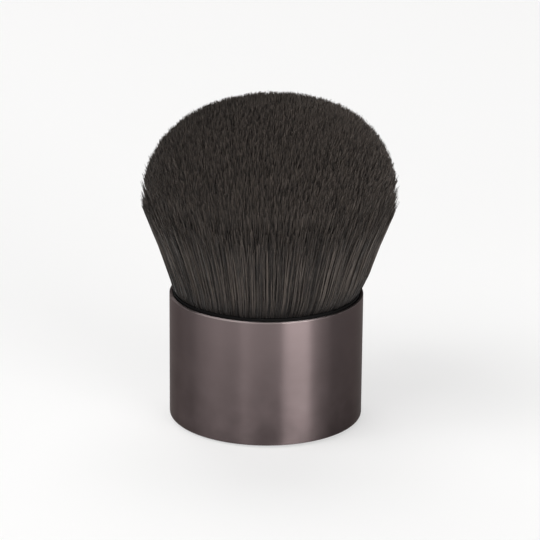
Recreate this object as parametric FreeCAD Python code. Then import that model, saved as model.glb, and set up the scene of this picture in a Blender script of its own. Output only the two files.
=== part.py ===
"""Kabuki makeup brush: a domed tuft of fibres, set in a moulded cup inside a short weighted metal sleeve.

Millimetres, +Z up along the brush's axis. The origin is the middle of the foot pad's underside,
so the brush stands on the plane z = 0. Every piece is a separate solid with a file of its own.
"""

import FreeCAD
import Part
import math
import os

Vector = FreeCAD.Vector
AXIS = Vector(0, 0, 1)
ORIGIN = Vector(0, 0, 0)
FULL_TURN = 360.0

# Overall sizes
SLEEVE_DIAMETER = 40.0  # outside of the metal sleeve, which is the grip
RIM_HEIGHT = 26.9  # table to the top of the metal rim
TUFT_STAND = 40.6  # metal rim to the top of the tuft's crown, at the mean height of the fibres' tips

# Tuft, above the mouth
FLARE_ANGLE = 22.0  # degrees that the straight sides lean out from upright
SHOULDER_RADIUS = 18.0  # round of the sides into the crown
CROWN_RADIUS = 36.0  # flatter round of the top

# Tuft, below the mouth
ROOT_SPREAD = 2.0  # height over which the fibres widen again above the root ring
ROOT_RING_WALL = 0.6
ROOT_RING_WIDTH = 3.0
ROOT_RING_RISE = 0.3  # above the top of the adhesive

# Adhesive that holds the root
ADHESIVE_BED = 1.5  # under the fibres
ADHESIVE_DEPTH = 4.5  # from the cup's floor to the top of its edge

# Metal sleeve
SLEEVE_WALL = 0.7
FOOT_LIFT = 0.1  # lower edge above the base cap's underside
FOOT_ROUND_SHARE = 0.7  # of the wall, rounded off at the lower outside edge

# Moulded cup
LIP_STAND = 0.6  # dark lip that shows above the metal rim
LIP_WALL = 0.4
MOUTH_DEPTH = 3.0  # cone from the socket's wall out to the lip
COLLAR_HEIGHT = 5.0  # full-width band below the lip's top
CUP_WALL = 1.3
CUP_FLOOR = 2.0
RIB_COUNT = 8
RIB_WIDTH = 1.6
RIB_DEPTH = 0.3
KEY_RISE = 1.2  # groove that the adhesive locks into, above the cup's floor
KEY_WIDTH = 1.0
KEY_DEPTH = 0.4

# Base cap, weight and foot pad
CAP_FLOOR = 2.0
CAP_SKIRT_WALL = 1.6
CAP_SKIRT_SHARE = 0.9  # of the weight's thickness
CAP_CHAMFER = 0.4
BOSS_DIAMETER = 6.0
BOSS_SHARE = 0.8  # of the weight's thickness
WEIGHT_THICKNESS = 5.5
WEIGHT_CHAMFER = 0.5
PAD_DIAMETER = 33.0
PAD_THICKNESS = 0.3
PAD_EDGE_SHARE = 0.4  # of the pad's thickness, rounded off at its lower edge

# Fits
GLUE_GAP = 0.05  # radial gap of a bonded fit
SEAT_GAP = 0.2  # radial gap inside and outside the weight

# Radii that neighbouring pieces share
SLEEVE_RADIUS = SLEEVE_DIAMETER / 2
BORE_RADIUS = SLEEVE_RADIUS - SLEEVE_WALL
FIT_RADIUS = BORE_RADIUS - GLUE_GAP  # outside of the cup's collar and of the base cap
SOCKET_RADIUS = FIT_RADIUS - CUP_WALL
LIP_RADIUS = FIT_RADIUS - LIP_WALL  # inside of the lip
FIBRE_RADIUS = SOCKET_RADIUS - GLUE_GAP
MOUTH_RADIUS = LIP_RADIUS - GLUE_GAP
ROOT_RADIUS = FIBRE_RADIUS - ROOT_RING_WALL - GLUE_GAP
SKIRT_RADIUS = FIT_RADIUS - CAP_SKIRT_WALL
BOSS_RADIUS = BOSS_DIAMETER / 2
PAD_RADIUS = PAD_DIAMETER / 2

# Heights that neighbouring pieces share
SLEEVE_FOOT = PAD_THICKNESS + FOOT_LIFT
CAP_FLOOR_TOP = PAD_THICKNESS + CAP_FLOOR
WEIGHT_TOP = CAP_FLOOR_TOP + WEIGHT_THICKNESS
SOCKET_BOTTOM = WEIGHT_TOP + CUP_FLOOR
KEY_BOTTOM = SOCKET_BOTTOM + KEY_RISE
KEY_TOP = KEY_BOTTOM + KEY_WIDTH
ROOT_BOTTOM = SOCKET_BOTTOM + ADHESIVE_BED
ADHESIVE_TOP = SOCKET_BOTTOM + ADHESIVE_DEPTH
RING_BOTTOM = ADHESIVE_TOP + ROOT_RING_RISE
RING_TOP = RING_BOTTOM + ROOT_RING_WIDTH
LIP_TOP = RIM_HEIGHT + LIP_STAND
CROWN_TOP = RIM_HEIGHT + TUFT_STAND
MOUTH_BOTTOM = LIP_TOP - MOUTH_DEPTH


def at(radius, height):
    """A point of a turned outline, in the plane of X and Z."""
    return Vector(radius, 0, height)


def path(*points):
    """Straight edges from each point to the next."""
    return [Part.LineSegment(a, b).toShape() for a, b in zip(points, points[1:])]


def arc(start, middle, end):
    """One round edge through three points."""
    return [Part.Arc(start, middle, end).toShape()]


def arc_about(centre, start, end):
    """One round edge from start to end about a centre, the short way."""
    towards = (start - centre).normalize() + (end - centre).normalize()
    middle = centre + towards.normalize() * (start - centre).Length
    return arc(start, middle, end)


def round_top(outside, inside, top):
    """A fully rounded top edge of a thin wall, and the height where the round begins."""
    radius = (outside - inside) / 2
    spring = top - radius
    edges = arc(at(outside, spring), at(outside - radius, top), at(inside, spring))
    return edges, spring


def turned(edges):
    """The solid that a closed outline sweeps about the axis."""
    face = Part.Face(Part.Wire(edges))
    return face.revolve(ORIGIN, AXIS, FULL_TURN)


def outer_sleeve():
    """Drawn metal tube with a rounded mouth and an eased foot. It carries everything else."""
    foot_round = FOOT_ROUND_SHARE * SLEEVE_WALL
    rim, spring = round_top(SLEEVE_RADIUS, BORE_RADIUS, RIM_HEIGHT)
    foot_centre = at(SLEEVE_RADIUS - foot_round, SLEEVE_FOOT + foot_round)
    foot_inner = at(SLEEVE_RADIUS - foot_round, SLEEVE_FOOT)
    foot_outer = at(SLEEVE_RADIUS, SLEEVE_FOOT + foot_round)
    edges = path(at(BORE_RADIUS, spring), at(BORE_RADIUS, SLEEVE_FOOT), foot_inner)
    edges += arc_about(foot_centre, foot_inner, foot_outer)
    edges += path(foot_outer, at(SLEEVE_RADIUS, spring))
    return turned(edges + rim)


def cup_ribs():
    """Upright ribs that centre the cup in the sleeve, under its collar."""
    height = LIP_TOP - COLLAR_HEIGHT - WEIGHT_TOP
    wall = FIT_RADIUS - RIB_DEPTH
    root = wall - RIB_DEPTH
    corner = Vector(root, -RIB_WIDTH / 2, WEIGHT_TOP)
    bar = Part.makeBox(FIT_RADIUS - root, RIB_WIDTH, height, corner)
    bars = []
    for index in range(RIB_COUNT):
        turned_bar = bar.copy()
        turned_bar.rotate(ORIGIN, AXIS, FULL_TURN * index / RIB_COUNT)
        bars.append(turned_bar)
    sleeve_side = Part.makeCylinder(FIT_RADIUS, height, at(0, WEIGHT_TOP))
    return sleeve_side.common(Part.makeCompound(bars))


def inner_cup():
    """Moulded cup that the tuft is glued into. Its lip shows as the dark line above the metal rim."""
    wall = FIT_RADIUS - RIB_DEPTH
    collar = LIP_TOP - COLLAR_HEIGHT
    lip, spring = round_top(FIT_RADIUS, LIP_RADIUS, LIP_TOP)
    edges = path(at(LIP_RADIUS, spring), at(SOCKET_RADIUS, MOUTH_BOTTOM), at(SOCKET_RADIUS, KEY_TOP))
    edges += path(
        at(SOCKET_RADIUS, KEY_TOP),
        at(SOCKET_RADIUS + KEY_DEPTH, KEY_TOP),
        at(SOCKET_RADIUS + KEY_DEPTH, KEY_BOTTOM),
        at(SOCKET_RADIUS, KEY_BOTTOM),
        at(SOCKET_RADIUS, SOCKET_BOTTOM),
        at(0, SOCKET_BOTTOM),
        at(0, WEIGHT_TOP),
        at(wall, WEIGHT_TOP),
        at(wall, collar),
        at(FIT_RADIUS, collar),
        at(FIT_RADIUS, spring),
    )
    return turned(edges + lip).fuse(cup_ribs()).removeSplitter()


def root_adhesive():
    """Cast plug that locks the fibres' ends into the cup, keyed into the groove in its wall."""
    key_bottom = KEY_BOTTOM + GLUE_GAP
    key_top = KEY_TOP - GLUE_GAP
    key_radius = SOCKET_RADIUS + KEY_DEPTH - GLUE_GAP
    root_side = ROOT_RADIUS + GLUE_GAP
    return turned(
        path(
            at(0, SOCKET_BOTTOM),
            at(FIBRE_RADIUS, SOCKET_BOTTOM),
            at(FIBRE_RADIUS, key_bottom),
            at(key_radius, key_bottom),
            at(key_radius, key_top),
            at(FIBRE_RADIUS, key_top),
            at(FIBRE_RADIUS, ADHESIVE_TOP),
            at(root_side, ADHESIVE_TOP),
            at(root_side, ROOT_BOTTOM),
            at(0, ROOT_BOTTOM),
            at(0, SOCKET_BOTTOM),
        )
    )


def root_ring():
    """Thin metal ring pressed round the fibres' root before it is set in the adhesive."""
    inside = ROOT_RADIUS + GLUE_GAP
    return turned(
        path(
            at(inside, RING_BOTTOM),
            at(FIBRE_RADIUS, RING_BOTTOM),
            at(FIBRE_RADIUS, RING_TOP),
            at(inside, RING_TOP),
            at(inside, RING_BOTTOM),
        )
    )


def tuft_head(mouth):
    """The tuft's outline above the mouth: a straight flare, a shoulder arc and a crown arc, all tangent."""
    lean = math.radians(FLARE_ANGLE)
    upward = at(math.sin(lean), math.cos(lean))
    inward = at(-math.cos(lean), math.sin(lean))
    apex = at(0, CROWN_TOP)
    crown_centre = at(0, CROWN_TOP - CROWN_RADIUS)
    # The shoulder's centre lies its radius inside the flare, and inside the crown arc by the same radius.
    offset = mouth + inward * SHOULDER_RADIUS - crown_centre
    along = offset.dot(upward)
    reach = CROWN_RADIUS - SHOULDER_RADIUS
    flare_length = math.sqrt(along**2 - offset.dot(offset) + reach**2) - along
    flare_end = mouth + upward * flare_length
    shoulder_centre = flare_end + inward * SHOULDER_RADIUS
    outward = (shoulder_centre - crown_centre).normalize()
    crown_start = crown_centre + outward * CROWN_RADIUS
    edges = path(mouth, flare_end)
    edges += arc_about(shoulder_centre, flare_end, crown_start)
    edges += arc_about(crown_centre, crown_start, apex)
    return edges, apex


def bristle_tuft():
    """The whole bundle of fibres as one closed form, from its glued root to the domed tips."""
    mouth = at(MOUTH_RADIUS, LIP_TOP)
    edges, apex = tuft_head(mouth)
    edges += path(
        apex,
        at(0, ROOT_BOTTOM),
        at(ROOT_RADIUS, ROOT_BOTTOM),
        at(ROOT_RADIUS, RING_TOP),
        at(FIBRE_RADIUS, RING_TOP + ROOT_SPREAD),
        at(FIBRE_RADIUS, MOUTH_BOTTOM),
        mouth,
    )
    return turned(edges)


def base_weight():
    """Steel disc that keeps the brush standing. It sits on the base cap, round its boss."""
    outside = SKIRT_RADIUS - SEAT_GAP
    inside = BOSS_RADIUS + SEAT_GAP
    return turned(
        path(
            at(inside, CAP_FLOOR_TOP),
            at(outside - WEIGHT_CHAMFER, CAP_FLOOR_TOP),
            at(outside, CAP_FLOOR_TOP + WEIGHT_CHAMFER),
            at(outside, WEIGHT_TOP - WEIGHT_CHAMFER),
            at(outside - WEIGHT_CHAMFER, WEIGHT_TOP),
            at(inside, WEIGHT_TOP),
            at(inside, CAP_FLOOR_TOP),
        )
    )


def base_cap():
    """Moulded cap glued into the sleeve's foot, with a skirt and a boss that hold the weight."""
    skirt_top = CAP_FLOOR_TOP + CAP_SKIRT_SHARE * WEIGHT_THICKNESS
    boss_top = CAP_FLOOR_TOP + BOSS_SHARE * WEIGHT_THICKNESS
    return turned(
        path(
            at(0, PAD_THICKNESS),
            at(FIT_RADIUS - CAP_CHAMFER, PAD_THICKNESS),
            at(FIT_RADIUS, PAD_THICKNESS + CAP_CHAMFER),
            at(FIT_RADIUS, skirt_top),
            at(SKIRT_RADIUS, skirt_top),
            at(SKIRT_RADIUS, CAP_FLOOR_TOP),
            at(BOSS_RADIUS, CAP_FLOOR_TOP),
            at(BOSS_RADIUS, boss_top),
            at(0, boss_top),
            at(0, PAD_THICKNESS),
        )
    )


def foot_pad():
    """Thin soft disc stuck to the base cap's underside. The brush stands on it."""
    edge = PAD_EDGE_SHARE * PAD_THICKNESS
    lower = at(PAD_RADIUS - edge, 0)
    side = at(PAD_RADIUS, edge)
    edges = path(side, at(PAD_RADIUS, PAD_THICKNESS), at(0, PAD_THICKNESS), at(0, 0), lower)
    edges += arc_about(at(PAD_RADIUS - edge, edge), lower, side)
    return turned(edges)


PIECES = [outer_sleeve, inner_cup, root_adhesive, root_ring, bristle_tuft, base_weight, base_cap, foot_pad]


def main():
    """Writes each piece to parts/ under its own name."""
    os.makedirs("parts", exist_ok=True)
    for make in PIECES:
        shape = make()
        box = shape.BoundBox
        print(make.__name__, "volume %.1f mm3, height %.2f to %.2f mm" % (shape.Volume, box.ZMin, box.ZMax))
        shape.exportStep("parts/%s.step" % make.__name__)


main()
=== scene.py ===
"""Looks of a kabuki makeup brush: its fibres, finishes, floor, light and camera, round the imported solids.

The file is laid out as an add-on and is run as a script. Lengths are metres, in the frame of the solids:
+Z is up, the brush stands on z = 0 round the z axis, and the camera looks along +Y.
"""

import math
import random
from typing import NamedTuple

import bmesh
import bpy
from bpy.props import FloatProperty, FloatVectorProperty, IntProperty, PointerProperty
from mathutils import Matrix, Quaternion, Vector
from mathutils.bvhtree import BVHTree
from mathutils.kdtree import KDTree


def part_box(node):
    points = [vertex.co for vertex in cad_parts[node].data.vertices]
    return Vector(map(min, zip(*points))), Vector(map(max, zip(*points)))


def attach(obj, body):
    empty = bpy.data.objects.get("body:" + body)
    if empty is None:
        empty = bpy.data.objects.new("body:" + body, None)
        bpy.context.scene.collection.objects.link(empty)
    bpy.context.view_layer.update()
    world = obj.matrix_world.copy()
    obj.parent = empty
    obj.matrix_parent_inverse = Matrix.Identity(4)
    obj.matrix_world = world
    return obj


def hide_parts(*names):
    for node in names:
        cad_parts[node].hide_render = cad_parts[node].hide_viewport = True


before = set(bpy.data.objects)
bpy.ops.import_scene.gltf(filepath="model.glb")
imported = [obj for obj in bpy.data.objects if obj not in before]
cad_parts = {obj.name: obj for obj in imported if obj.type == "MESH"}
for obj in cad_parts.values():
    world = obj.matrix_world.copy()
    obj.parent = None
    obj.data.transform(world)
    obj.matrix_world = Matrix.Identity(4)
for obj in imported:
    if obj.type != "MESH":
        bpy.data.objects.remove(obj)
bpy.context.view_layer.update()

bl_info = {
    "name": "Kabuki Brush",
    "version": (1, 0, 0),
    "blender": (4, 5, 0),
    "location": "3D View > Sidebar > Kabuki Brush",
    "description": "Dresses the solids of a kabuki makeup brush with fibres, finishes and a small studio",
    "category": "Object",
}

MM = 0.001
BODY = "root"

SLEEVE_LOW, SLEEVE_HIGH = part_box("outer_sleeve")
CUP_LOW, CUP_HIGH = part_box("inner_cup")
TUFT_LOW, TUFT_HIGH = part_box("bristle_tuft")

TURN_STEPS = 240  # faces round a turned piece, so that no facet shows on polished metal
BEVEL_SEGMENTS = 5
SHARP_ANGLE = math.radians(40)  # edges that turn by more than this stay sharp
MERGE_DISTANCE = 0.001 * MM

STRAND_SIDES = 3
STRAND_TURN = 0.618  # turns from one strand to the next, so that their sides don't line up
SPOT_SHAKE = 0.5  # share of their spacing by which fibres and clumps leave an even pattern
LEAN_POWER = 4  # the tuft stands straight at first and leans near its crown
UV_NAME = "OFBake"
UV_TONE_LIMIT = 0.97  # the palest tone, which leaves room in the UV map for the sides of a strand
UV_SIDE_SHARE = 0.02  # width in the UV map of one strand
UV_CAP_SHARE = 0.01  # height in the UV map of a strand's end faces

FLOOR_HALF = 4.0
LAMP_DISTANCE = 2.5
LAMP_AIM = Vector((0.0, 0.0, 30 * MM))
SENSOR_WIDTH = 36.0
CLIP_RANGE = (0.01, 20.0)

# Name, azimuth and elevation in degrees, width and height in metres, and brightness of each lamp. The low ones draw
# the bands on the sleeve, and the high ones light the crown.
SOFT_BOXES = (
    ("front_box", -5, 10, (2.1, 0.85), 4.9),
    ("left_box", -50, 10, (2.4, 0.85), 0.7),
    ("side_box", -96, 10, (1.6, 0.85), 0.5),
    ("left_mid_box", -80, 38, (1.3, 1.3), 2.5),
    ("left_high_box", -50, 50, (1.5, 1.5), 3.7),
    ("strip_box", 36, 10, (1.45, 0.85), 15.2),
    ("strip_fade", 58, 10, (0.57, 0.85), 3.8),
    ("strip_tail", 71, 10, (0.6, 0.85), 1.6),
    ("back_box", -155, 30, (1.2, 1.2), 1.0),
    ("top_box", 180, 60, (1.8, 1.5), 2.8),
)


def linear(hex_colour):
    """An sRGB colour written as #rrggbb, as linear red, green, blue and alpha."""
    channels = [int(hex_colour[i:i + 2], 16) / 255 for i in (1, 3, 5)]
    return tuple(c / 12.92 if c <= 0.04045 else ((c + 0.055) / 1.055) ** 2.4 for c in channels) + (1.0,)


def length(name, description, default):
    """A length that a user may change, given in millimetres and kept in metres."""
    return FloatProperty(name=name, description=description, default=default * MM, min=0.0, precision=5,
                         unit="LENGTH")


def colour(name, description, default):
    """A colour that a user may change, given as an sRGB hex value."""
    return FloatVectorProperty(name=name, description=description, default=linear(default), size=4, min=0.0, max=1.0,
                               subtype="COLOR")


class SleeveSettings(bpy.types.PropertyGroup):
    """Sizes and finish of the metal sleeve"""

    wall: length("Wall", "Thickness of the drawn metal", 0.7)
    rim_round: length("Rim round", "Radius of both edges of the mouth", 0.26)
    foot_round: length("Foot round", "Radius of the outer edge that stands near the table", 0.49)
    tint: colour("Tint", "Colour of the anodised metal at the mouth", "#706464")
    # Painted shade: the metal is drawn darker, towards this colour, at its foot.
    foot_shade_tint: colour("Deep tint", "Colour that the metal tends to at its foot", "#3c3434")
    # Painted highlight: the round of the mouth is drawn in this paler colour, as a thin bright line.
    edge: colour("Edge", "Colour of the worn edge of the mouth", "#9c908f")
    line_spacing: length("Line spacing", "Distance between the fine turned lines", 0.25)


class TuftSettings(bpy.types.PropertyGroup):
    """Sizes, counts and colours of the fibres"""

    flare: FloatProperty(name="Flare", description="Lean of the outermost fibres from upright",
                         default=math.radians(22), subtype="ANGLE")
    lip_wall: length("Lip wall", "Thickness of the black lip that the fibres leave", 0.45)
    side_count: IntProperty(name="Side fibres", description="Fibres drawn from the lip to their tip",
                            default=4800, min=1)
    shoulder_count: IntProperty(name="Shoulder fibres", description="Fibres of which the upper part is drawn",
                                default=10000, min=1)
    shoulder_length: length("Shoulder length", "Drawn length of a fibre next inside the outermost", 20.0)
    crown_count: IntProperty(name="Crown fibres", description="Fibres of which only the end is drawn",
                             default=84000, min=1)
    crown_length: length("Crown length", "Drawn length of a fibre inside the bundle", 7.0)
    core_depth: length("Core depth", "How far below the skin the packed core lies", 1.3)
    proud: length("Proud", "How far the longest fibres pass the skin of the tuft", 0.95)
    root_depth: length("Root depth", "How far below the lip the drawn fibres begin", 1.5)
    sway: length("Sway", "How far the tuft sits to the right just above the lip", 0.4)
    sway_height: length("Sway height", "Height above the lip at which it sits there", 3.0)
    lean: length("Lean", "How much further the crown leans to the right", 1.4)
    swell: length("Swell", "How far the outer fibres bulge over the lip", 0.5)
    # Painted light: the tips are drawn paler, as if lit through.
    tip_length: length("Tip length", "Stretch of each fibre, at its end, that looks paler", 1.3)
    tip_glow: FloatProperty(name="Tip gain", description="How much paler the tips are, from dark 0 to pale 1",
                            default=0.3, min=0.0, max=1.0)
    side_shade: length("Side shade", "Stretch at the root of an outer fibre that lies in shade", 18.0)
    inner_shade: length("Inner shade", "Stretch at the root of an inner fibre that lies in shade", 3.2)
    seed: IntProperty(name="Seed", description="Start of the random numbers", default=7)
    dark: colour("Dark fibres", "Colour of the darkest fibres", "#0e0c0b")
    pale: colour("Pale fibres", "Colour of the palest fibres", "#48413c")
    core: colour("Core", "Colour of the shaded bundle behind the fibres", "#070505")


class StudioSettings(bpy.types.PropertyGroup):
    """Floor, light and camera"""

    floor: colour("Floor", "Colour of the matt floor", "#f4f3f2")
    glow: FloatProperty(name="Glow", description="Share of plain white in the floor as the camera sees it",
                        default=0.5, min=0.0, max=1.0)
    daylight: FloatProperty(name="Fill", description="Strength of the even light from all round", default=0.05,
                            min=0.0)
    distance: length("Distance", "Camera to the point that it looks at", 583.0)
    elevation: FloatProperty(name="Elevation", description="Height of the camera above the horizon",
                             default=math.radians(18.446), subtype="ANGLE")
    roll: FloatProperty(name="Roll", description="Turn of the camera about its own line of sight",
                        default=math.radians(0.495), subtype="ANGLE")
    lens: FloatProperty(name="Lens", description="Focal length on a 36 mm sensor", default=188.9, unit="CAMERA")
    target: FloatVectorProperty(name="Target", description="Point that the camera looks at",
                                default=(0.705 * MM, 0.0, 31.394 * MM), subtype="XYZ", unit="LENGTH", precision=5)


def add(tree, kind, inputs=None, **settings):
    """Adds a node.

    Settings are its own properties, and inputs maps a socket to a value or to the output that feeds it.
    """
    made = tree.nodes.new(kind)
    for name, value in settings.items():
        setattr(made, name, value)
    for socket, value in (inputs or {}).items():
        if isinstance(value, bpy.types.NodeSocket):
            tree.links.new(value, made.inputs[socket])
        else:
            made.inputs[socket].default_value = value
    return made


def new_material(name):
    """A new material with no nodes, and its node tree."""
    material = bpy.data.materials.new(name)
    material.use_nodes = True
    material.node_tree.nodes.clear()
    return material, material.node_tree


def anodised_aluminium(settings):
    """Anodised aluminium, drawn and turned: satin brown-grey, highlights stretched up and down by fine lines, shade
    painted darker towards the foot, a highlight painted on the mouth's round.
    """
    line_run = 1 / 30  # metres round the sleeve over which a line changes
    cloud_size = 6 * MM  # uneven dye
    foot_shade_share = 1.0  # share of the deep tint at the foot, before the clouds thin it
    material, tree = new_material("anodised aluminium")
    place = add(tree, "ShaderNodeTexCoord").outputs["Object"]
    # The lines run round the sleeve, so the pattern is far finer along z. They are drawn coarser than real
    # turning marks, which would vanish between two pixels.
    lines = add(tree, "ShaderNodeMapping", {
        "Vector": place, "Scale": (1 / line_run, 1 / line_run, 1 / settings.line_spacing)})
    turned = add(tree, "ShaderNodeTexNoise", {"Vector": lines.outputs[0], "Scale": 1.0, "Detail": 3.0})
    cloud = add(tree, "ShaderNodeTexNoise", {"Vector": place, "Scale": 1 / cloud_size, "Detail": 2.0})
    rough = add(tree, "ShaderNodeMapRange", {"Value": turned.outputs[0], "To Min": 0.42, "To Max": 0.48})
    height = add(tree, "ShaderNodeSeparateXYZ", {0: place})
    # Painted shade: towards its foot the metal is drawn darker, in the foot shade tint, and the clouds of uneven dye
    # make that patchy.
    depth = add(tree, "ShaderNodeMapRange", {
        "Value": height.outputs["Z"], "From Min": SLEEVE_HIGH.z, "From Max": 0.0, "To Min": 0.0, "To Max": foot_shade_share})
    dye = add(tree, "ShaderNodeMath", {0: depth.outputs[0], 1: cloud.outputs[0]}, operation="MULTIPLY")
    dyed = add(tree, "ShaderNodeMix", {0: dye.outputs[0], 6: settings.tint, 7: settings.foot_shade_tint},
               data_type="RGBA")
    # Painted highlight: the round of the mouth is drawn in a paler colour, which shows as a thin bright line.
    highlit = add(tree, "ShaderNodeMapRange", {
        "Value": height.outputs["Z"], "From Min": SLEEVE_HIGH.z - settings.rim_round,
        "From Max": SLEEVE_HIGH.z - settings.rim_round / 2})
    tint = add(tree, "ShaderNodeMix", {0: highlit.outputs[0], 6: dyed.outputs[2], 7: settings.edge},
               data_type="RGBA")
    bump = add(tree, "ShaderNodeBump", {"Height": turned.outputs[0], "Strength": 0.05, "Distance": 0.01 * MM})
    tangent = add(tree, "ShaderNodeTangent", direction_type="RADIAL", axis="Z")
    surface = add(tree, "ShaderNodeBsdfPrincipled", {
        "Base Color": tint.outputs[2], "Metallic": 1.0, "Roughness": rough.outputs[0], "Anisotropic": 1.0,
        "Anisotropic Rotation": 0.25, "Specular Tint": linear("#cfcac8"), "Normal": bump.outputs[0],
        "Tangent": tangent.outputs[0]})
    add(tree, "ShaderNodeOutputMaterial", {"Surface": surface.outputs[0]})
    return material


def moulded_abs():
    """Black ABS, moulded with a fine spark-eroded grain: near-black, with a broad dull sheen; on the cup's lip this
    also paints the shadow gap at the mouth.
    """
    material, tree = new_material("moulded black ABS")
    place = add(tree, "ShaderNodeTexCoord").outputs["Object"]
    grain = add(tree, "ShaderNodeTexNoise", {"Vector": place, "Scale": 1 / (0.4 * MM), "Detail": 2.0})
    rough = add(tree, "ShaderNodeMapRange", {"Value": grain.outputs[0], "To Min": 0.6, "To Max": 0.75})
    # Painted shade, in part: this near-black, barely reflecting finish also stands for the shadow gap at the mouth,
    # where the cup's lip shows round the fibres.
    tone = add(tree, "ShaderNodeMix", {0: grain.outputs[0], 6: linear("#050505"), 7: linear("#0a0909")},
               data_type="RGBA")
    bump = add(tree, "ShaderNodeBump", {"Height": grain.outputs[0], "Strength": 0.2, "Distance": 0.02 * MM})
    surface = add(tree, "ShaderNodeBsdfPrincipled", {
        "Base Color": tone.outputs[2], "Roughness": rough.outputs[0], "IOR": 1.53, "Specular IOR Level": 0.06,
        "Normal": bump.outputs[0]})
    add(tree, "ShaderNodeOutputMaterial", {"Surface": surface.outputs[0]})
    return material


def cast_epoxy():
    """Cast epoxy: honey-coloured, glossy, with faint clouds where it set round the fibres."""
    material, tree = new_material("cast epoxy")
    place = add(tree, "ShaderNodeTexCoord").outputs["Object"]
    cloud = add(tree, "ShaderNodeTexNoise", {"Vector": place, "Scale": 1 / (3 * MM), "Detail": 3.0})
    rough = add(tree, "ShaderNodeMapRange", {"Value": cloud.outputs[0], "To Min": 0.15, "To Max": 0.3})
    tone = add(tree, "ShaderNodeMix", {0: cloud.outputs[0], 6: linear("#b98a45"), 7: linear("#d0a760")},
               data_type="RGBA")
    bump = add(tree, "ShaderNodeBump", {"Height": cloud.outputs[0], "Strength": 0.2, "Distance": 0.1 * MM})
    surface = add(tree, "ShaderNodeBsdfPrincipled", {
        "Base Color": tone.outputs[2], "Roughness": rough.outputs[0], "IOR": 1.55, "Normal": bump.outputs[0]})
    add(tree, "ShaderNodeOutputMaterial", {"Surface": surface.outputs[0]})
    return material


def bare_metal(name, pale, dark, mark):
    """Bare turned metal: fine rings left by the tool, in tone, roughness and bump.

    Mark sets their spacing, which is 2 pi times as long.
    """
    wave_rate = 20  # radians that the wave turns in one unit, at a scale of 1
    material, tree = new_material(name)
    place = add(tree, "ShaderNodeTexCoord").outputs["Object"]
    rings = add(tree, "ShaderNodeTexWave", {"Vector": place, "Scale": 1 / (wave_rate * mark), "Distortion": 1.0},
                wave_type="RINGS", rings_direction="Z")
    rough = add(tree, "ShaderNodeMapRange", {"Value": rings.outputs["Fac"], "To Min": 0.28, "To Max": 0.4})
    tone = add(tree, "ShaderNodeMix", {0: rings.outputs["Fac"], 6: dark, 7: pale}, data_type="RGBA")
    bump = add(tree, "ShaderNodeBump", {"Height": rings.outputs["Fac"], "Strength": 0.1, "Distance": 0.02 * MM})
    surface = add(tree, "ShaderNodeBsdfPrincipled", {
        "Base Color": tone.outputs[2], "Metallic": 1.0, "Roughness": rough.outputs[0], "Normal": bump.outputs[0]})
    add(tree, "ShaderNodeOutputMaterial", {"Surface": surface.outputs[0]})
    return material


def foam_rubber():
    """Closed-cell EVA foam, skived to a thin sheet: matt black with open cells at the cut face."""
    material, tree = new_material("black EVA foam")
    place = add(tree, "ShaderNodeTexCoord").outputs["Object"]
    cells = add(tree, "ShaderNodeTexVoronoi", {"Vector": place, "Scale": 1 / (0.5 * MM)})
    rough = add(tree, "ShaderNodeMapRange", {"Value": cells.outputs["Distance"], "To Min": 0.75, "To Max": 0.95})
    tone = add(tree, "ShaderNodeMix", {0: cells.outputs["Distance"], 6: linear("#1b1a1a"), 7: linear("#282626")},
               data_type="RGBA")
    bump = add(tree, "ShaderNodeBump", {"Height": cells.outputs["Distance"], "Strength": 0.5, "Distance": 0.08 * MM})
    surface = add(tree, "ShaderNodeBsdfPrincipled", {
        "Base Color": tone.outputs[2], "Roughness": rough.outputs[0], "Normal": bump.outputs[0]})
    add(tree, "ShaderNodeOutputMaterial", {"Surface": surface.outputs[0]})
    return material


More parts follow.
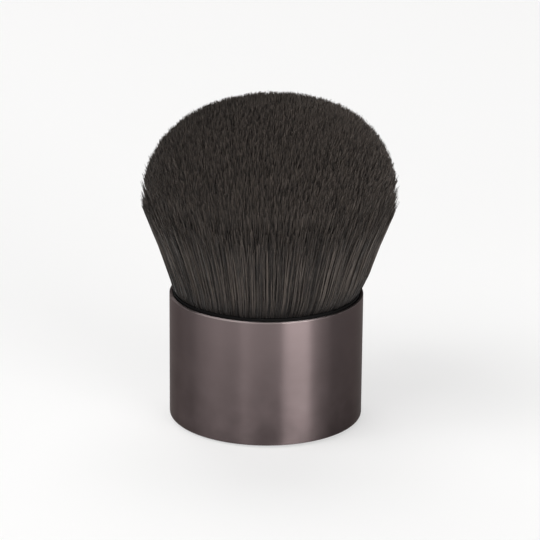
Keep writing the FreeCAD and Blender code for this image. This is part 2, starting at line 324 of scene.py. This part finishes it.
def tuft_fibre(settings, drawn, shaded):
    """Dyed synthetic fibre, drawn and tapered: charcoal strands of mixed tone, with light painted paler at the tip
    and shade painted dark at the root, and a soft sheen.

    Drawn is the length of fibre that the piece shows, from which the patterns along it get their real size, and
    shaded is the stretch at its root that lies in the shade of the bundle.
    """
    uneven_length = 3 * MM
    tones = 90.0  # steps of tone that each have dye stretches of their own
    material, tree = new_material("dyed charcoal fibre")
    place = add(tree, "ShaderNodeUVMap", uv_map=UV_NAME)
    split = add(tree, "ShaderNodeSeparateXYZ", {0: place.outputs[0]})  # x: the strand's tone, y: root to tip
    # Each fibre takes up the dye a little unevenly along its length, in stretches of a few millimetres.
    stretch = add(tree, "ShaderNodeMapping", {
        "Vector": place.outputs[0], "Scale": (tones, drawn / uneven_length, 1.0)})
    uneven = add(tree, "ShaderNodeTexNoise", {"Vector": stretch.outputs[0], "Scale": 1.0, "Detail": 1.0})
    dye = add(tree, "ShaderNodeMapRange", {"Value": uneven.outputs[0], "From Min": 0.3, "From Max": 0.7,
                                           "To Min": -0.25, "To Max": 0.25})
    # Painted light: the tips are drawn paler, standing in for the light that the thin tapered tips let through.
    tip = add(tree, "ShaderNodeMapRange", {
        "Value": split.outputs["Y"], "From Min": 1 - settings.tip_length / drawn, "To Max": settings.tip_glow},
        interpolation_type="SMOOTHSTEP")
    paler = add(tree, "ShaderNodeMath", {0: split.outputs["X"], 1: tip.outputs[0]}, operation="ADD")
    mixed = add(tree, "ShaderNodeMath", {0: paler.outputs[0], 1: dye.outputs[0]}, operation="ADD", use_clamp=True)
    tone = add(tree, "ShaderNodeMix", {0: mixed.outputs[0], 6: settings.dark, 7: settings.pale}, data_type="RGBA")
    # Painted shade: the root is darkened to the core's colour, where the bundle shades it.
    root = add(tree, "ShaderNodeMapRange", {"Value": split.outputs["Y"], "From Max": shaded / drawn},
               interpolation_type="SMOOTHSTEP")
    root_shaded = add(tree, "ShaderNodeMix", {0: root.outputs[0], 6: settings.core, 7: tone.outputs[2]}, data_type="RGBA")
    rough = add(tree, "ShaderNodeMapRange", {"Value": split.outputs["X"], "To Min": 0.55, "To Max": 0.42})
    surface = add(tree, "ShaderNodeBsdfPrincipled", {
        "Base Color": root_shaded.outputs[2], "Roughness": rough.outputs[0], "IOR": 1.5, "Specular IOR Level": 0.2,
        "Sheen Weight": 0.3, "Sheen Roughness": 0.35, "Sheen Tint": linear("#cbc7c4")})
    add(tree, "ShaderNodeOutputMaterial", {"Surface": surface.outputs[0]})
    return material


def fibre_core(settings):
    """The same fibre where it is packed, with its shade painted on: almost black, with faint streaks up the bundle.
    """
    streak_width, streak_length = 0.4 * MM, 6 * MM
    material, tree = new_material("shaded packed fibre")
    place = add(tree, "ShaderNodeTexCoord").outputs["Object"]
    along = add(tree, "ShaderNodeMapping", {
        "Vector": place, "Scale": (1 / streak_width, 1 / streak_width, 1 / streak_length)})
    streak = add(tree, "ShaderNodeTexNoise", {"Vector": along.outputs[0], "Scale": 1.0, "Detail": 2.0})
    tone = add(tree, "ShaderNodeMix", {0: streak.outputs[0], 6: settings.core, 7: settings.dark}, data_type="RGBA")
    rough = add(tree, "ShaderNodeMapRange", {"Value": streak.outputs[0], "To Min": 0.7, "To Max": 0.9})
    bump = add(tree, "ShaderNodeBump", {"Height": streak.outputs[0], "Strength": 0.6, "Distance": 0.2 * MM})
    surface = add(tree, "ShaderNodeBsdfPrincipled", {
        "Base Color": tone.outputs[2], "Roughness": rough.outputs[0], "Specular IOR Level": 0.1,
        "Normal": bump.outputs[0]})
    add(tree, "ShaderNodeOutputMaterial", {"Surface": surface.outputs[0]})
    return material


def matt_floor(tint, glow):
    """Matt paint: pale and even, with a trace of roller texture.

    Glow is the share of plain white in what the camera, metal and glass see of it. It lights nothing.
    """
    material, tree = new_material("matt floor paint")
    place = add(tree, "ShaderNodeTexCoord").outputs["Object"]
    roller = add(tree, "ShaderNodeTexNoise", {"Vector": place, "Scale": 1 / (3 * MM), "Detail": 2.0})
    rough = add(tree, "ShaderNodeMapRange", {"Value": roller.outputs[0], "To Min": 0.85, "To Max": 0.95})
    surface = add(tree, "ShaderNodeBsdfPrincipled", {
        "Base Color": tint, "Roughness": rough.outputs[0], "Specular IOR Level": 0.2})
    ray = add(tree, "ShaderNodeLightPath")
    mirrored = add(tree, "ShaderNodeMath", {0: ray.outputs["Is Glossy Ray"], 1: ray.outputs["Is Transmission Ray"]},
                   operation="MAXIMUM")
    seen = add(tree, "ShaderNodeMath", {0: ray.outputs["Is Camera Ray"], 1: mirrored.outputs[0]},
               operation="MAXIMUM")
    share = add(tree, "ShaderNodeMath", {0: seen.outputs[0], 1: glow}, operation="MULTIPLY")
    white = add(tree, "ShaderNodeEmission", {"Color": linear("#ffffff"), "Strength": 1.0})
    mixed = add(tree, "ShaderNodeMixShader", {0: share.outputs[0], 1: surface.outputs[0], 2: white.outputs[0]})
    add(tree, "ShaderNodeOutputMaterial", {"Surface": mixed.outputs[0]})
    return material


def mesh_object(name, bm, material):
    """The bmesh as a smooth-shaded object with one material."""
    mesh = bpy.data.meshes.new(name)
    bm.to_mesh(mesh)
    bm.free()
    mesh.shade_smooth()
    mesh.set_sharp_from_angle(angle=SHARP_ANGLE)
    mesh.materials.append(material)
    made = bpy.data.objects.new(name, mesh)
    bpy.context.scene.collection.objects.link(made)
    return made


def stand_for(piece, node):
    """Puts a finished piece in the place of a solid."""
    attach(piece, BODY)
    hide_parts(node)


def finish_solid(node, material):
    """Gives a solid that stays showing its material."""
    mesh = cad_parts[node].data
    mesh.materials.clear()
    mesh.materials.append(material)


class Fan:
    """The lines that the fibres follow: they spread from one point below the cup, and end on the tuft's skin."""

    def __init__(self, tuft):
        self.mouth = CUP_HIGH.z
        self.radius = CUP_HIGH.x - tuft.lip_wall
        self.drop = self.radius / math.tan(tuft.flare)
        self.lean, self.sway, self.sway_height = tuft.lean, tuft.sway, tuft.sway_height
        solid = bmesh.new()
        solid.from_mesh(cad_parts["bristle_tuft"].data)
        self.skin = BVHTree.FromBMesh(solid)
        solid.free()

    def point(self, spot, reach):
        """A point of the line through this spot of the mouth, whose radius is taken as 1.

        Reach is its distance from where the lines meet, as a multiple of the mouth's.
        """
        scale = self.radius * reach
        return Vector((spot.x * scale, spot.y * scale, self.mouth + self.drop * (reach - 1)))

    def tip_reach(self, spot):
        """How far along its line a fibre through this spot meets the skin."""
        start = self.point(spot, 1.0)
        end = self.skin.ray_cast(start, self.point(spot, 2.0) - start)[0]
        if end is None:
            raise RuntimeError("a fibre does not meet the skin of the tuft")
        return 1 + (end.z - self.mouth) / self.drop

    def leant(self, point):
        """The point moved to the right, as the tuft leaves the lip and as its crown leans."""
        height = max(0.0, point.z - self.mouth)
        rise = height / (TUFT_HIGH.z - self.mouth)
        shift = self.sway * min(1.0, height / self.sway_height) + self.lean * rise ** LEAN_POWER
        return point + Vector((shift, 0.0, 0.0))


def spiral(count, chance):
    """Even spots on a disc of radius 1, in a sunflower's spiral, each shaken at random."""
    golden = math.pi * (3 - math.sqrt(5))
    step = SPOT_SHAKE / math.sqrt(count)
    spots = []
    for number in range(count):
        radius = math.sqrt((number + 0.5) / count)
        spots.append(Vector((radius * math.cos(number * golden) + chance.gauss(0, step),
                             radius * math.sin(number * golden) + chance.gauss(0, step), 0.0)))
    return spots


def clumps_of(count, chance):
    """A tree of the clumps' centres, and a tone for each, from -1 to 1."""
    centres = spiral(count, chance)
    tree = KDTree(count)
    for number, centre in enumerate(centres):
        tree.insert(centre, number)
    tree.balance()
    return tree, [chance.uniform(-1, 1) for _ in centres]


def grow_strands(name, strands, width, taper, material):
    """One mesh of strands: each starts as a small triangle and is drawn out from point to point of its path.

    A strand is its points and its tone. The UV map holds the tone across and the way from root to tip up. The
    perpendicular that a strand starts from is up to 1.41 long, so it is that much thicker than width.
    """
    bm = bmesh.new()
    tone_of = bm.verts.layers.float.new("tone")
    side_of = bm.verts.layers.float.new("side")
    along_of = bm.verts.layers.float.new("along")
    strand_of = bm.faces.layers.int.new("strand")
    ends = []
    for number, (points, tone) in enumerate(strands):
        direction = (points[1] - points[0]).normalized()
        across = direction.orthogonal() * (width * taper[0] / 2)
        ring = []
        for side in range(STRAND_SIDES):
            turn = Quaternion(direction, math.tau * (side / STRAND_SIDES + number * STRAND_TURN))
            vert = bm.verts.new(points[0] + turn @ across)
            vert[tone_of] = tone
            vert[side_of] = side / STRAND_SIDES
            ring.append(vert)
        face = bm.faces.new(ring)
        face[strand_of] = number
        ends.append(face)
    for step in range(1, len(taper)):
        ends = bmesh.ops.extrude_discrete_faces(bm, faces=ends)["faces"]
        shrink = taper[step] / taper[step - 1]
        for face in ends:
            points = strands[face[strand_of]][0]
            for vert in face.verts:
                vert.co = points[step] + (vert.co - points[step - 1]) * shrink
                vert[along_of] = step / (len(taper) - 1)
    bmesh.ops.holes_fill(bm, edges=[edge for edge in bm.edges if edge.is_boundary], sides=STRAND_SIDES)
    bmesh.ops.recalc_face_normals(bm, faces=bm.faces)
    place = bm.loops.layers.uv.new(UV_NAME)
    for face in bm.faces:
        is_end = len(face.verts) == STRAND_SIDES
        for corner, loop in enumerate(face.loops):
            vert = loop.vert
            along = (1 - UV_CAP_SHARE) * vert[along_of] + (UV_CAP_SHARE if is_end and corner == 0 else 0.0)
            loop[place].uv = (vert[tone_of] + UV_SIDE_SHARE * vert[side_of], along)
    for layer in (tone_of, side_of, along_of):
        bm.verts.layers.float.remove(layer)
    bm.faces.layers.int.remove(strand_of)
    piece = mesh_object(name, bm, material)
    stand_for(piece, "bristle_tuft")


class KABUKI_OT_sleeve(bpy.types.Operator):
    """Turn the metal sleeve, with a rounded mouth and an eased foot"""

    bl_idname = "kabuki.sleeve"
    bl_label = "Metal Sleeve"

    def execute(self, context):
        sleeve = context.scene.kabuki_sleeve
        outer, inner = SLEEVE_HIGH.x, SLEEVE_HIGH.x - sleeve.wall
        bm = bmesh.new()
        section = [(inner, SLEEVE_LOW.z), (outer, SLEEVE_LOW.z), (outer, SLEEVE_HIGH.z), (inner, SLEEVE_HIGH.z)]
        corners = [bm.verts.new((x, 0.0, z)) for x, z in section]
        edges = [bm.edges.new((corners[i - 1], corners[i])) for i in range(len(corners))]
        bmesh.ops.spin(bm, geom=corners + edges, cent=(0, 0, 0), axis=(0, 0, 1), dvec=(0, 0, 0), angle=math.tau,
                       steps=TURN_STEPS, use_merge=True, use_duplicate=False)
        bmesh.ops.remove_doubles(bm, verts=bm.verts, dist=MERGE_DISTANCE)
        bmesh.ops.recalc_face_normals(bm, faces=bm.faces)

        def ring(radius, height):
            near = 10 * MERGE_DISTANCE
            return [edge for edge in bm.edges if all(
                abs(v.co.z - height) < near and abs(v.co.xy.length - radius) < near for v in edge.verts)]

        for rings, size in (([(outer, SLEEVE_HIGH.z), (inner, SLEEVE_HIGH.z)], sleeve.rim_round),
                            ([(outer, SLEEVE_LOW.z)], sleeve.foot_round)):
            bmesh.ops.bevel(bm, geom=[edge for place in rings for edge in ring(*place)], offset=size,
                            offset_type="OFFSET", segments=BEVEL_SEGMENTS, profile=0.5, affect="EDGES",
                            material=-1)
        piece = mesh_object("sleeve_tube", bm, anodised_aluminium(sleeve))
        stand_for(piece, "outer_sleeve")
        return {"FINISHED"}


class KABUKI_OT_mouldings(bpy.types.Operator):
    """Finish the black cup, whose lip shows round the fibres, and the cap under the base"""

    bl_idname = "kabuki.mouldings"
    bl_label = "Black Mouldings"

    def execute(self, context):
        plastic = moulded_abs()
        # The cup's near-black lip also stands in for the shadow gap between the sleeve's mouth and the fibres:
        # painted shade, in part.
        for node in ("inner_cup", "base_cap"):
            finish_solid(node, plastic)
        return {"FINISHED"}


class KABUKI_OT_inner_parts(bpy.types.Operator):
    """Finish the parts inside the sleeve and the pad under it"""

    bl_idname = "kabuki.inner_parts"
    bl_label = "Inner Parts"

    def execute(self, context):
        finish_solid("root_adhesive", cast_epoxy())
        finish_solid("root_ring", bare_metal("bare aluminium", linear("#d4d5d6"), linear("#b9babc"), 0.1 * MM))
        finish_solid("base_weight", bare_metal("zinc-plated steel", linear("#b4b6ba"), linear("#96989c"), 0.2 * MM))
        finish_solid("foot_pad", foam_rubber())
        return {"FINISHED"}


class KABUKI_OT_tuft_core(bpy.types.Operator):
    """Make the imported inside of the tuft, which closes the gaps between the drawn fibres"""

    bl_idname = "kabuki.tuft_core"
    bl_label = "Tuft Core"

    def execute(self, context):
        tuft = context.scene.kabuki_tuft
        fan = Fan(tuft)
        bm = bmesh.new()
        bm.from_mesh(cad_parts["bristle_tuft"].data)
        bmesh.ops.remove_doubles(bm, verts=bm.verts, dist=MERGE_DISTANCE)
        bm.normal_update()
        for vert in bm.verts:
            vert.co = fan.leant(vert.co - vert.normal * tuft.core_depth)
        piece = mesh_object("tuft_core", bm, fibre_core(tuft))
        stand_for(piece, "bristle_tuft")
        return {"FINISHED"}


class Layer(NamedTuple):
    """One layer of drawn fibres. Taper and swell run from root to tip, with a value for each point of a fibre."""

    count: int  # fibres, if the layer filled the whole mouth
    ring: tuple  # inner and outer edge of what it fills, as shares of the mouth's radius
    drawn: float | None  # length below the tip, or None for the whole fibre
    clump: int  # fibres that cling together
    pull: tuple  # least and greatest share of the way by which they close up
    scatter: float  # greatest shortfall of a tip from the longest
    usual: float  # commonest shortfall
    dip: float  # further shortfall of the darkest clumps
    wander: float  # spread of the tips to the sides
    tone: float  # mean tone, from dark 0 to pale 1
    contrast: tuple  # spread of the tone from clump to clump, and from fibre to fibre
    width: float
    pieces: int  # sectors, each a piece of its own
    taper: tuple  # share of the width
    swell: tuple  # share of the bulge over the lip


def lay_fibres(name, tuft, layer, material):
    """Lays one layer of fibres along the fan and grows them, in pieces that each fill a sector of the tuft."""
    fan = Fan(tuft)
    chance = random.Random(f"{name} {tuft.seed}")
    clumps, clump_tones = clumps_of(layer.count // layer.clump, chance)
    inner, outer = layer.ring
    clump_spread, fibre_spread = layer.contrast
    last = len(layer.taper) - 1
    sectors = [[] for _ in range(layer.pieces)]
    for spot in spiral(layer.count, chance):
        if not inner <= spot.length <= outer:
            continue
        centre, clump, _ = clumps.find(spot)
        short = chance.triangular(0.0, layer.scatter, layer.usual)
        short += layer.dip * max(0.0, -clump_tones[clump])
        end = fan.tip_reach(spot) + (tuft.proud - short) / fan.drop
        begin = 1 - tuft.root_depth / fan.drop
        if layer.drawn:
            begin = max(begin, end - layer.drawn / fan.drop)
        wander = Vector((chance.gauss(0, 1), chance.gauss(0, 1), 0.0)) * (layer.wander / fan.radius)
        pull = chance.uniform(*layer.pull)
        points = []
        for step, swell in enumerate(layer.swell):
            t = step / last
            # A clump has closed up half way along, and its fibres wander more and more towards their tips.
            here = spot.lerp(centre, pull * min(1.0, 2 * t)) + wander * t * t
            if here.length > outer:
                here *= outer / here.length
            here *= 1 + tuft.swell * swell / fan.radius
            points.append(fan.leant(fan.point(here, begin + (end - begin) * t)))
        tone = layer.tone + clump_spread * clump_tones[clump] + chance.gauss(0, fibre_spread)
        turn = math.atan2(spot.y, spot.x) / math.tau % 1.0
        sector = int(turn * layer.pieces) % layer.pieces
        sectors[sector].append((points, min(max(tone, 0.0), UV_TONE_LIMIT)))
    for number, strands in enumerate(sectors, 1):
        grow_strands(f"{name}_{number}", strands, layer.width, layer.taper, material)


class KABUKI_OT_side_fibres(bpy.types.Operator):
    """Grow the fibres that show round the outside of the tuft, from the lip to their tips"""

    bl_idname = "kabuki.side_fibres"
    bl_label = "Side Fibres"

    def execute(self, context):
        tuft = context.scene.kabuki_tuft
        inner, outer = 0.955, 0.993
        lay_fibres("tuft_side", tuft, Layer(
            count=int(tuft.side_count / (outer ** 2 - inner ** 2)), ring=(inner, outer), drawn=None,
            clump=11, pull=(0.4, 0.8), scatter=5.5 * MM, usual=0.3 * MM, dip=0.0, wander=0.3 * MM,
            tone=0.38, contrast=(0.12, 0.36), width=0.15 * MM, pieces=2,
            taper=(1.0, 1.0, 1.0, 1.0, 0.95, 0.8, 0.35), swell=(0.0, 1.0, 0.8, 0.4, 0.1, 0.1, 0.1),
        ), tuft_fibre(tuft, TUFT_HIGH.z - CUP_HIGH.z, tuft.side_shade))
        return {"FINISHED"}


class KABUKI_OT_shoulder_fibres(bpy.types.Operator):
    """Grow the upper part of the fibres next inside, whose tips make the rounded shoulder"""

    bl_idname = "kabuki.shoulder_fibres"
    bl_label = "Shoulder Fibres"

    def execute(self, context):
        tuft = context.scene.kabuki_tuft
        inner, outer = 0.86, 0.965
        lay_fibres("tuft_shoulder", tuft, Layer(
            count=int(tuft.shoulder_count / (outer ** 2 - inner ** 2)), ring=(inner, outer),
            drawn=tuft.shoulder_length,
            clump=6, pull=(0.2, 0.6), scatter=6.0 * MM, usual=0.3 * MM, dip=2.5 * MM, wander=0.2 * MM,
            tone=0.3, contrast=(0.42, 0.25), width=0.18 * MM, pieces=2,
            taper=(1.0, 1.0, 0.9, 0.7, 0.3), swell=(0.0, 0.0, 0.0, 0.1, 0.1),
        ), tuft_fibre(tuft, tuft.shoulder_length, tuft.inner_shade))
        return {"FINISHED"}


class KABUKI_OT_crown_fibres(bpy.types.Operator):
    """Grow the ends of the fibres inside the bundle, whose tips make the domed crown"""

    bl_idname = "kabuki.crown_fibres"
    bl_label = "Crown Fibres"

    def execute(self, context):
        tuft = context.scene.kabuki_tuft
        outer = 0.91
        lay_fibres("tuft_crown", tuft, Layer(
            count=int(tuft.crown_count / outer ** 2), ring=(0.0, outer), drawn=tuft.crown_length,
            clump=4, pull=(0.1, 0.5), scatter=2.6 * MM, usual=0.6 * MM, dip=1.1 * MM, wander=0.1 * MM,
            tone=0.32, contrast=(0.4, 0.28), width=0.15 * MM, pieces=6,
            taper=(1.0, 0.9, 0.35), swell=(0.0, 0.0, 0.0),
        ), tuft_fibre(tuft, tuft.crown_length, tuft.inner_shade))
        return {"FINISHED"}


def soft_box(name, azimuth, elevation, size, brightness):
    """A rectangular studio lamp that faces the brush. Azimuth 0 is the camera's side, and 90 is its right.

    Brightness is that of its front, where 1 looks white.
    """
    lamp = bpy.data.lights.new(name, "AREA")
    lamp.shape = "RECTANGLE"
    lamp.size, lamp.size_y = size
    lamp.energy = brightness * math.pi * size[0] * size[1]
    made = bpy.data.objects.new(name, lamp)
    a, e = math.radians(azimuth), math.radians(elevation)
    away = Vector((math.sin(a) * math.cos(e), -math.cos(a) * math.cos(e), math.sin(e)))
    made.location = LAMP_AIM + away * LAMP_DISTANCE
    made.rotation_euler = away.to_track_quat("Z", "Y").to_euler()
    made.visible_camera = False
    bpy.context.scene.collection.objects.link(made)


class KABUKI_OT_stage(bpy.types.Operator):
    """Lay the floor, set the lamps and the fill, and place the camera"""

    bl_idname = "kabuki.stage"
    bl_label = "Floor, Light and Camera"

    def execute(self, context):
        studio = context.scene.kabuki_studio
        bm = bmesh.new()
        bmesh.ops.create_grid(bm, x_segments=1, y_segments=1, size=FLOOR_HALF)
        floor = mesh_object("floor", bm, matt_floor(studio.floor, studio.glow))

        for box in SOFT_BOXES:
            soft_box(*box)

        world = bpy.data.worlds.new("studio fill")
        world.use_nodes = True
        world.node_tree.nodes.clear()
        sky = add(world.node_tree, "ShaderNodeBackground", {"Color": linear("#ffffff"), "Strength": studio.daylight})
        add(world.node_tree, "ShaderNodeOutputWorld", {"Surface": sky.outputs[0]})
        context.scene.world = world

        lens = bpy.data.cameras.new("camera")
        lens.lens = studio.lens
        lens.sensor_width = SENSOR_WIDTH
        lens.clip_start, lens.clip_end = CLIP_RANGE
        camera = bpy.data.objects.new("camera", lens)
        e = studio.elevation
        away = Vector((0.0, -math.cos(e), math.sin(e)))
        camera.location = Vector(studio.target) + away * studio.distance
        turn = away.to_track_quat("Z", "Y") @ Quaternion((0, 0, 1), studio.roll)
        camera.rotation_euler = turn.to_euler()
        context.scene.collection.objects.link(camera)
        context.scene.camera = camera
        context.scene.view_settings.view_transform = "Standard"
        return {"FINISHED"}


class KABUKI_PT_panel(bpy.types.Panel):
    """Lists the pieces of the brush in the 3D view's sidebar"""

    bl_idname = "KABUKI_PT_panel"
    bl_label = "Kabuki Brush"
    bl_space_type = "VIEW_3D"
    bl_region_type = "UI"
    bl_category = "Kabuki Brush"

    def draw(self, context):
        for operator in OPERATORS:
            self.layout.operator(operator.bl_idname)
        for settings in SETTINGS:
            box = self.layout.box()
            group = getattr(context.scene, settings)
            for name in group.bl_rna.properties.keys():
                if name not in ("rna_type", "name"):
                    box.prop(group, name)


SETTINGS = {"kabuki_sleeve": SleeveSettings, "kabuki_tuft": TuftSettings, "kabuki_studio": StudioSettings}
OPERATORS = (KABUKI_OT_sleeve, KABUKI_OT_mouldings, KABUKI_OT_inner_parts, KABUKI_OT_tuft_core,
             KABUKI_OT_side_fibres, KABUKI_OT_shoulder_fibres, KABUKI_OT_crown_fibres, KABUKI_OT_stage)
CLASSES = (*SETTINGS.values(), *OPERATORS, KABUKI_PT_panel)


def register():
    for cls in CLASSES:
        bpy.utils.register_class(cls)
    for name, settings in SETTINGS.items():
        setattr(bpy.types.Scene, name, PointerProperty(type=settings))


def unregister():
    for name in SETTINGS:
        delattr(bpy.types.Scene, name)
    for cls in reversed(CLASSES):
        bpy.utils.unregister_class(cls)


def main():
    """Dresses the brush."""
    register()
    bpy.ops.kabuki.sleeve()
    bpy.ops.kabuki.mouldings()
    bpy.ops.kabuki.inner_parts()
    bpy.ops.kabuki.tuft_core()
    bpy.ops.kabuki.side_fibres()
    bpy.ops.kabuki.shoulder_fibres()
    bpy.ops.kabuki.crown_fibres()
    bpy.ops.kabuki.stage()


if __name__ == "__main__":
    main()
